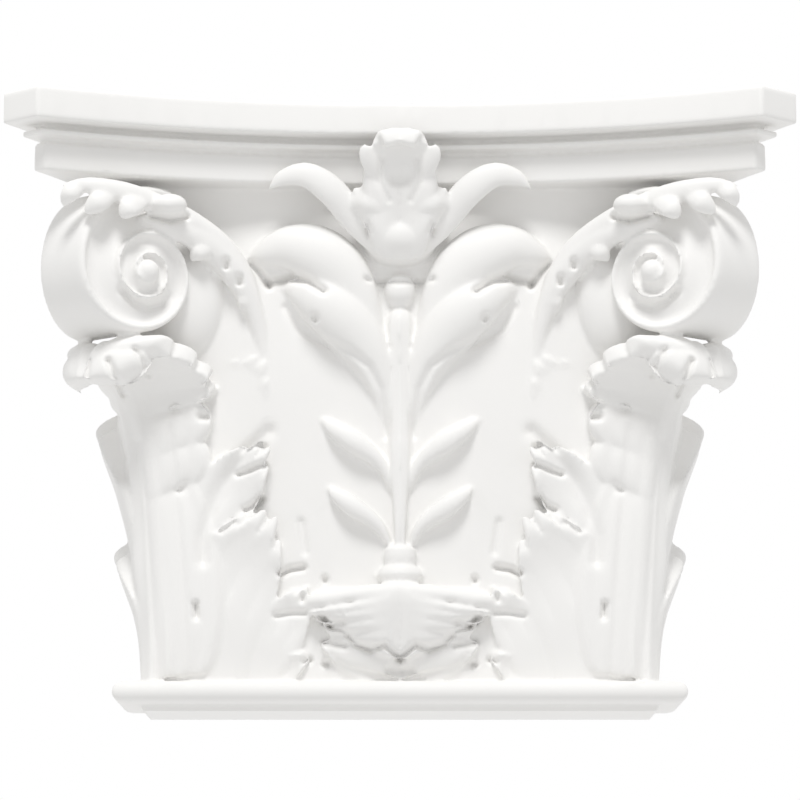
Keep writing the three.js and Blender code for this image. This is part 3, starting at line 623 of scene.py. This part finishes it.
def chase(made, lines):
    """Presses the lines into the surface that faces the front."""
    count = len(made.data.vertices)
    co = np.empty(3 * count)
    made.data.vertices.foreach_get("co", co)
    co = co.reshape(-1, 3)
    facing = np.empty(3 * count)
    made.data.vertices.foreach_get("normal", facing)
    front = smooth(-facing.reshape(-1, 3)[:, 1], 0.25, 0.75)
    flat = np.column_stack([np.abs(co[:, 0]), co[:, 2]]) / MM
    for line, half_width, depth in lines:
        line = np.array(line, dtype=float)
        low, high = line.min(axis=0) - CHASE_REACH * half_width, line.max(axis=0) + CHASE_REACH * half_width
        near = np.all((flat > low) & (flat < high), axis=1) & (front > 0)
        away = np.full(near.sum(), np.inf)
        for start, end in zip(line, line[1:]):
            step = end - start
            share = np.clip((flat[near] - start) @ step / (step @ step), 0, 1)
            away = np.minimum(away, np.linalg.norm(flat[near] - start - share[:, None] * step, axis=1))
        co[near, 1] += depth * MM * front[near] * bump(away, 0, half_width)
    made.data.vertices.foreach_set("co", co.ravel())
    made.data.update()


chase(capital, CHASED_LEAVES + CHASED_CALYX + CHASED_TOP)
MOST_TRIANGLES = 190000
triangles = len(capital.data.polygons) * 2
apply("DECIMATE", "lighten", ratio=min(1.0, MOST_TRIANGLES / triangles))
capital.data.shade_smooth()
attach(capital, "root")
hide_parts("capital")

# Finish
# Matte white primer, sprayed on at the works, very slightly uneven and with a fine tooth.
TOOTH = 1.2  # mm from one grain to the next
CLOUD = 60  # mm from one paler patch to the next
TOOTH_HEIGHT = 0.1
FIRST_WHITE, SECOND_WHITE = 6, 7  # sockets of the colour mix
MIXED_WHITE = 2


def linear(hex_colour):
    """An sRGB hex colour as the linear colour that shaders take."""
    channels = [int(hex_colour[i:i + 2], 16) / 255 for i in (1, 3, 5)]
    return [c / 12.92 if c <= 0.04045 else ((c + 0.055) / 1.055) ** 2.4 for c in channels] + [1.0]


def node(tree, kind, settings=None, **links):
    """A new shader node with these socket values, and links from other nodes' sockets."""
    made = tree.nodes.new(kind)
    for key, value in (settings or {}).items():
        made.inputs[key].default_value = value
    for key, socket in links.items():
        tree.links.new(socket, made.inputs[key.replace("_", " ")])
    return made


def surface(name):
    """A new material, with its node tree and its shader."""
    made = bpy.data.materials.new(name)
    made.use_nodes = True
    return made, made.node_tree, made.node_tree.nodes["Principled BSDF"]


primer, tree, shader = surface("white_primer")
place_of = tree.nodes.new("ShaderNodeTexCoord").outputs["Object"]
tooth = node(tree, "ShaderNodeTexNoise", {"Scale": 1 / (TOOTH * MM), "Detail": 2.0}, Vector=place_of)
cloud = node(tree, "ShaderNodeTexNoise", {"Scale": 1 / (CLOUD * MM), "Detail": 1.0}, Vector=place_of)
relief = node(tree, "ShaderNodeBump", {"Strength": 0.06, "Distance": TOOTH_HEIGHT * MM},
              Height=tooth.outputs["Fac"])
tint = tree.nodes.new("ShaderNodeMix")
tint.data_type = "RGBA"
tree.links.new(cloud.outputs["Fac"], tint.inputs["Factor"])
tint.inputs[FIRST_WHITE].default_value = linear("#F2F1EF")
tint.inputs[SECOND_WHITE].default_value = linear("#F6F5F3")
tree.links.new(tint.outputs[MIXED_WHITE], shader.inputs["Base Color"])
tree.links.new(relief.outputs["Normal"], shader.inputs["Normal"])
shader.inputs["Roughness"].default_value = 0.62
shader.inputs["Specular IOR Level"].default_value = 0.35
capital.data.materials.clear()
capital.data.materials.append(primer)

# Floor
# A pale floor. The camera looks up from below its level, so it shows from above only, and neither
# shades the underside nor lights it.
FLOOR_REACH = 3.0  # metres from the middle to each edge
floor_mesh = bmesh.new()
bmesh.ops.create_grid(floor_mesh, x_segments=1, y_segments=1, size=FLOOR_REACH)
floor_data = bpy.data.meshes.new("floor")
floor_mesh.to_mesh(floor_data)
floor_mesh.free()
floor = bpy.data.objects.new("floor", floor_data)
bpy.context.scene.collection.objects.link(floor)
floor_paint, tree, shader = surface("floor_paint")
shader.inputs["Base Color"].default_value = linear("#F4F4F4")
shader.inputs["Roughness"].default_value = 0.9
behind = tree.nodes.new("ShaderNodeNewGeometry").outputs["Backfacing"]
clear = tree.nodes.new("ShaderNodeBsdfTransparent")
mixed = tree.nodes.new("ShaderNodeMixShader")
for number, socket in enumerate((behind, shader.outputs["BSDF"], clear.outputs["BSDF"])):
    tree.links.new(socket, mixed.inputs[number])
tree.links.new(mixed.outputs["Shader"], tree.nodes["Material Output"].inputs["Surface"])
floor_data.materials.append(floor_paint)
floor.visible_diffuse = False
floor.visible_shadow = False

# Light
# A white studio that is dimmer on the photographer's side, with a large soft light high in front, so
# that hollows under the carving are grey.
FRONT_BELOW, FRONT_ABOVE = 0.8, 0.42  # the room's strength on the photographer's side
BACK_STRENGTH = 1.0
KEY_AT, KEY_AIM = (-0.1, -1.45, 2.3), (0, 0, 0.14)  # metres
KEY_SIZE, KEY_POWER = 0.7, 37
world = bpy.data.worlds.new("studio")
bpy.context.scene.world = world
world.use_nodes = True
room = world.node_tree
towards = room.nodes.new("ShaderNodeTexCoord").outputs["Generated"]
split = node(room, "ShaderNodeSeparateXYZ", Vector=towards)
front = node(room, "ShaderNodeMapRange",
             {"From Min": -0.3, "From Max": 1.0, "To Min": FRONT_BELOW, "To Max": FRONT_ABOVE},
             Value=split.outputs["Z"])
depth = node(room, "ShaderNodeMapRange", {"From Min": -0.2, "From Max": 0.7, "To Max": BACK_STRENGTH},
             Value=split.outputs["Y"], To_Min=front.outputs["Result"])
room.links.new(depth.outputs["Result"], room.nodes["Background"].inputs["Strength"])
room.nodes["Background"].inputs["Color"].default_value = (1, 1, 1, 1)
key_lamp = bpy.data.lights.new("key", "AREA")
key_lamp.shape, key_lamp.size, key_lamp.energy = "SQUARE", KEY_SIZE, KEY_POWER
key = bpy.data.objects.new("key", key_lamp)
key.location = KEY_AT
key.rotation_euler = (Vector(KEY_AIM) - Vector(KEY_AT)).to_track_quat("-Z", "Y").to_euler()
bpy.context.scene.collection.objects.link(key)

# Camera
# Two metres off and looking up, as the photograph was taken.
CAMERA_AT = (0, -1.977, -0.1336)  # metres
CAMERA_UP = 8.05  # degrees above level
SENSOR = 36  # mm
FOCAL_SHARE = 4313 / 800  # the focal length in the photograph's pixels, over its width in pixels
lens = bpy.data.cameras.new("camera")
lens.sensor_width = SENSOR
lens.lens = SENSOR * FOCAL_SHARE
lens.clip_end = 50
camera = bpy.data.objects.new("camera", lens)
camera.location = CAMERA_AT
camera.rotation_euler = (math.radians(90 + CAMERA_UP), 0, 0)
bpy.context.scene.collection.objects.link(camera)
bpy.context.scene.camera = camera
bpy.context.scene.view_settings.view_transform = "Standard"
